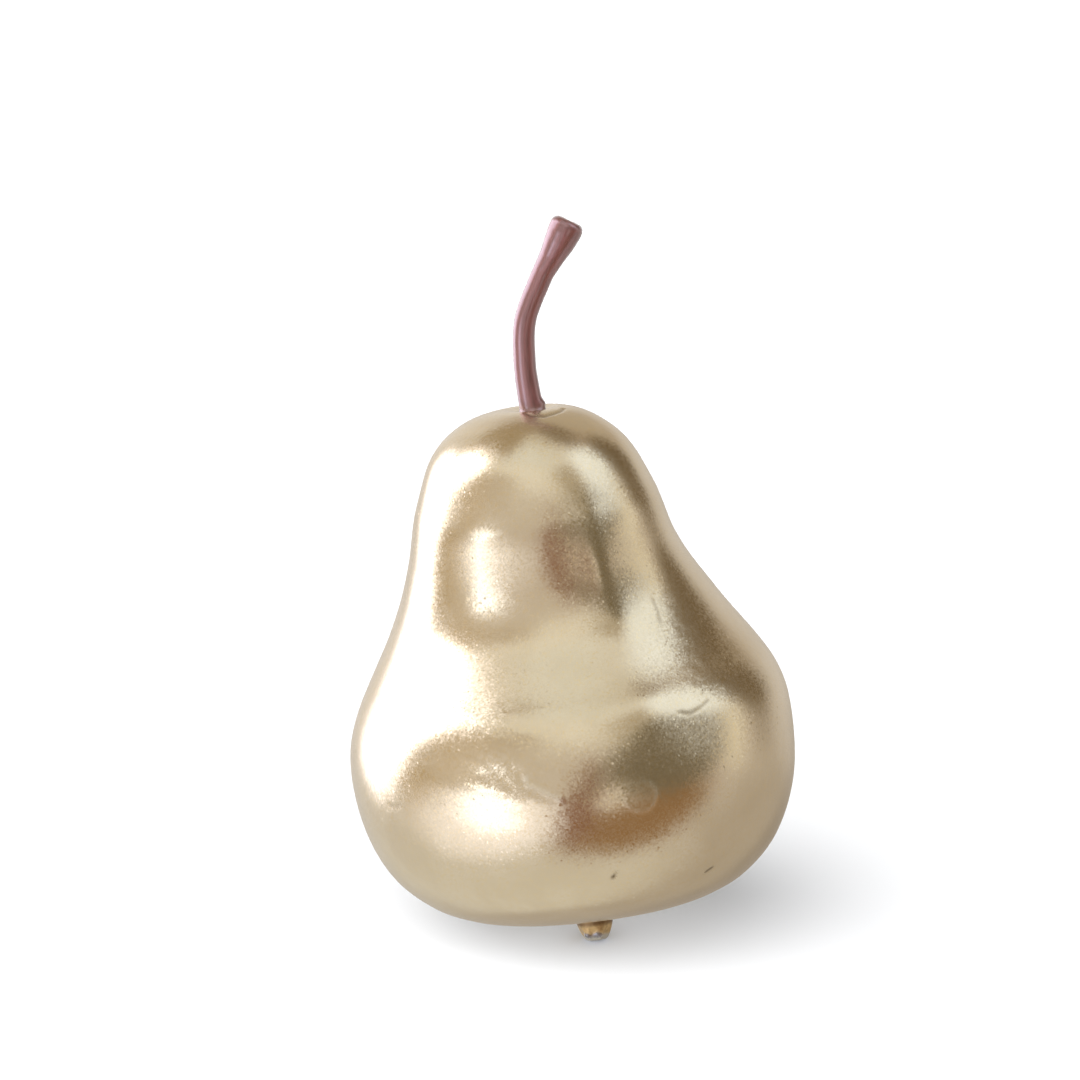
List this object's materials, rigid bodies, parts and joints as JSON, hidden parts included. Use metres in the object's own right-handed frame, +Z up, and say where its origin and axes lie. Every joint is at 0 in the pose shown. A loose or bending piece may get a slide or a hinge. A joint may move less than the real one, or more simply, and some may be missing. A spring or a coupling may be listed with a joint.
{
  "type": "decorative gold pear",
  "caption": "Decorative pear in champagne gold with a curved rose-brown stem and a small calyx, leaning on a flat spot of its base.",
  "frame": {"origin": "middle of the pear's box at the ground it stands on", "axes": "+Z up; -Y towards the viewer of the picture; +X to the viewer's right. The pear leans back and to the left, and its stem is uppermost"},
  "size_m": [0.085, 0.0846, 0.1391],
  "materials": {
    "gold_skin": "satin",
    "stem": "gloss",
    "calyx": "satin"
  },
  "bodies": {
    "root": {"pear_body": "gold_skin", "stem": "stem", "calyx": "calyx"}
  },
  "joints": []
}
